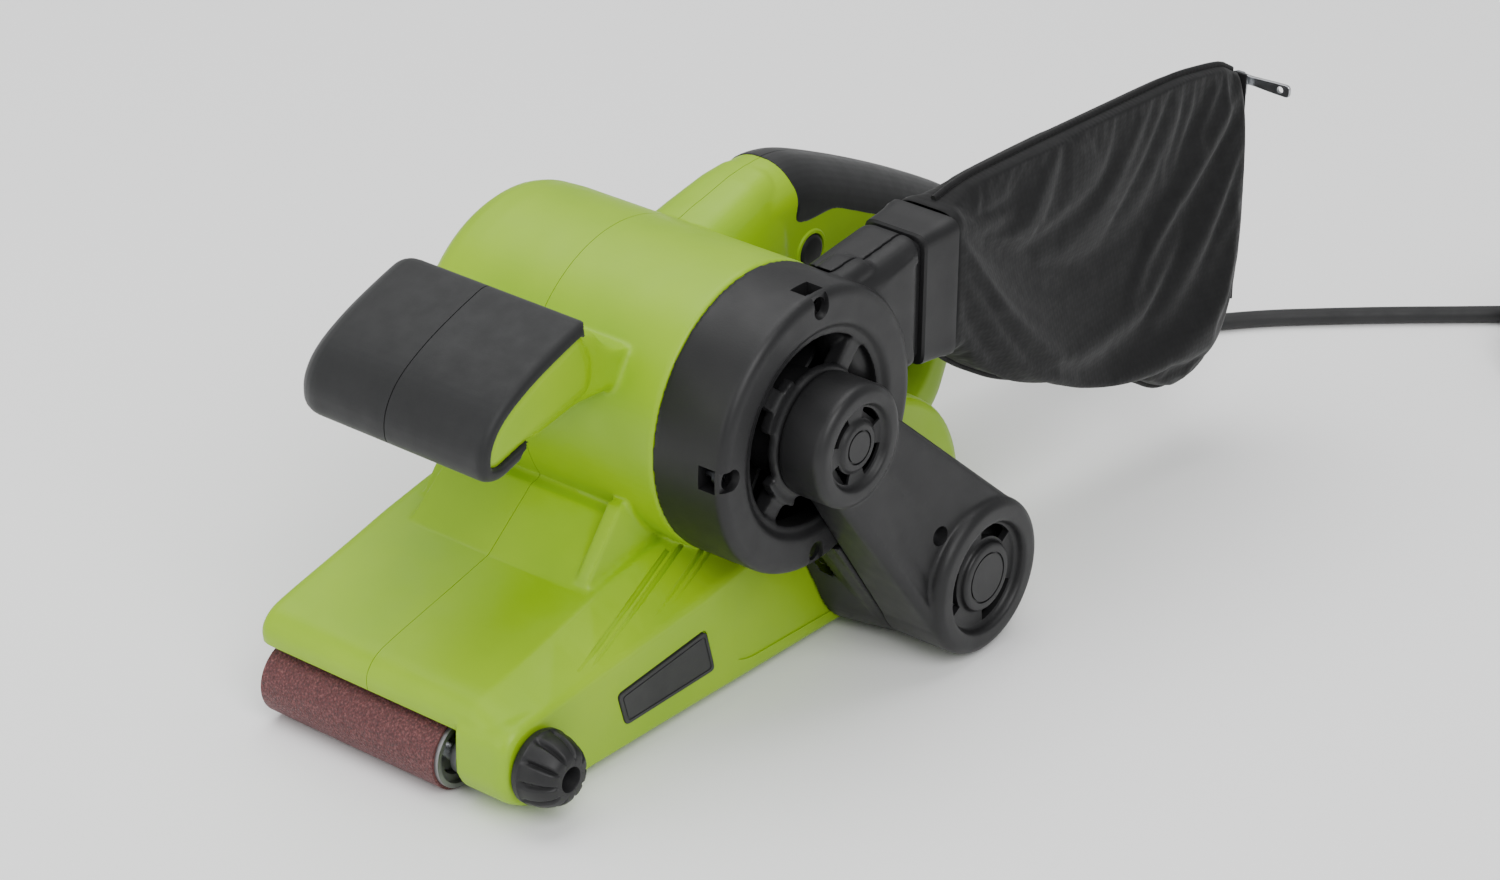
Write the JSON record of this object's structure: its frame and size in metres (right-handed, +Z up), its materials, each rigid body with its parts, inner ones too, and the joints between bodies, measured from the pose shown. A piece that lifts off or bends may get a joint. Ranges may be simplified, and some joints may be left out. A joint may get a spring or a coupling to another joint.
{
  "type": "handheld belt sander",
  "caption": "Handheld belt sander: green casing, side belt drive, D-handle with trigger, padded front grip, dust bag and coiled mains cord.",
  "frame": {"origin": "centre of the sole: on the floor, half-way between the two roller axes and in the middle of the sanding belt", "axes": "+X points to the rear of the tool, the drive side is -Y, +Z is up"},
  "size_m": [0.5604, 0.2656, 0.15],
  "materials": {
    "green_plastic": "satin moulded nylon",
    "black_plastic": "fine textured nylon",
    "soft_grip": "soft touch overmould",
    "badge_plastic": "blank badge",
    "steel": "machined",
    "zinc_steel": "zinc plated",
    "cast_aluminium": "die cast",
    "abrasive_cloth": "abrasive grain on cloth",
    "cork": "graphite-faced cork",
    "drive_rubber": "matt",
    "copper": "enamelled copper",
    "brass": "stamped",
    "iron": "laminated iron",
    "carbon": "graphite",
    "bag_cloth": "woven polyester",
    "cord_rubber": "smooth jacket",
    "tie_strap": "hook and loop strap"
  },
  "bodies": {
    "casing": {"housing_left": "green_plastic", "housing_right": "green_plastic", "housing_screws": "zinc_steel", "name_plate": "badge_plastic", "front_grip_left": "soft_grip", "front_grip_right": "soft_grip", "rear_grip_left": "soft_grip", "rear_grip_right": "soft_grip", "fan_housing": "black_plastic", "fan_housing_screws": "zinc_steel", "duct_back": "black_plastic", "belt_case": "black_plastic", "drive_cover": "black_plastic", "cover_screws": "zinc_steel", "frame_plate": "cast_aluminium", "platen_plate": "steel", "platen_pad": "cork", "sanding_belt": "abrasive_cloth", "tension_spring": "zinc_steel", "tension_pivot": "steel", "drive_bearings": "steel", "drive_belt": "drive_rubber", "motor_bearings": "steel", "stator_core": "iron", "field_coils": "copper", "brush_holders": "brass", "carbon_brushes": "carbon", "switch_body": "black_plastic", "cord_guard": "cord_rubber", "cord_clamp": "black_plastic", "mains_cord": "cord_rubber", "cord_coil": "cord_rubber", "cord_tie": "tie_strap", "plug_body": "cord_rubber", "plug_pins": "brass"},
    "front_fork": {"front_fork": "cast_aluminium", "front_axle": "steel"},
    "front_roller": {"front_roller": "cast_aluminium", "front_roller_bearings": "steel"},
    "drive_roller": {"drive_roller_core": "cast_aluminium", "drive_roller_rubber": "drive_rubber", "drive_shaft": "steel", "driven_pulley": "cast_aluminium", "pulley_nut": "zinc_steel"},
    "armature": {"armature_shaft": "steel", "armature_core": "iron", "commutator": "copper", "cooling_fan": "black_plastic", "motor_pulley": "steel"},
    "tension_lever": {"tension_lever": "black_plastic"},
    "tracking_knob": {"tracking_knob": "black_plastic", "tracking_screw": "zinc_steel"},
    "trigger": {"trigger": "black_plastic"},
    "lock_button": {"lock_button": "black_plastic"},
    "dust_bag": {"bag_collar": "black_plastic", "dust_bag": "bag_cloth", "bag_zip": "bag_cloth"},
    "zip_pull": {"zip_pull": "zinc_steel"}
  },
  "joints": [
    {"name": "motor_spin", "type": "hinge", "parent": "casing", "child": "armature", "pos_m": [0.027, 0, 0.099], "axis": [0, 1, 0], "continuous": true},
    {"name": "drive_roller_spin", "type": "hinge", "parent": "casing", "child": "drive_roller", "pos_m": [0.0875, 0, 0.0293], "axis": [0, 1, 0], "continuous": true},
    {"name": "fork_slide", "type": "slide", "parent": "casing", "child": "front_fork", "axis": [1, 0, 0], "range_m": [0, 0.006], "deforming": ["tension_spring"]},
    {"name": "front_roller_spin", "type": "hinge", "parent": "front_fork", "child": "front_roller", "pos_m": [-0.0875, 0, 0.0133], "axis": [0, 1, 0], "continuous": true},
    {"name": "tension_lever_turn", "type": "hinge", "parent": "casing", "child": "tension_lever", "pos_m": [-0.0175, 0.0315, 0.0145], "axis": [0, 0, 1], "range_deg": [0, 85]},
    {"name": "tracking_turn", "type": "hinge", "parent": "casing", "child": "tracking_knob", "pos_m": [-0.085, -0.067, 0.0192], "axis": [0, 1, 0], "range_deg": [-360, 360]},
    {"name": "trigger_press", "type": "slide", "parent": "casing", "child": "trigger", "axis": [0.454, 0, 0.891], "range_m": [0, 0.005], "stiffness_N_per_m": 400, "springref_m": -0.004},
    {"name": "lock_press", "type": "slide", "parent": "casing", "child": "lock_button", "axis": [0, 1, 0], "range_m": [0, 0.003], "stiffness_N_per_m": 400, "springref_m": -0.002},
    {"name": "bag_pull", "type": "slide", "parent": "casing", "child": "dust_bag", "axis": [1, 0, 0], "range_m": [0, 0.03]},
    {"name": "zip_swing", "type": "hinge", "parent": "dust_bag", "child": "zip_pull", "pos_m": [0.2915, -0.0715, 0.131], "axis": [-1, 0, 0], "range_deg": [0, 150]}
  ],
  "couplings": [
    {"joint": "drive_roller_spin", "follows": "motor_spin", "ratio": 0.45},
    {"joint": "front_roller_spin", "follows": "motor_spin", "ratio": 1.05},
    {"joint": "tension_lever_turn", "follows": "fork_slide", "rad_per_m": 247.2}
  ]
}
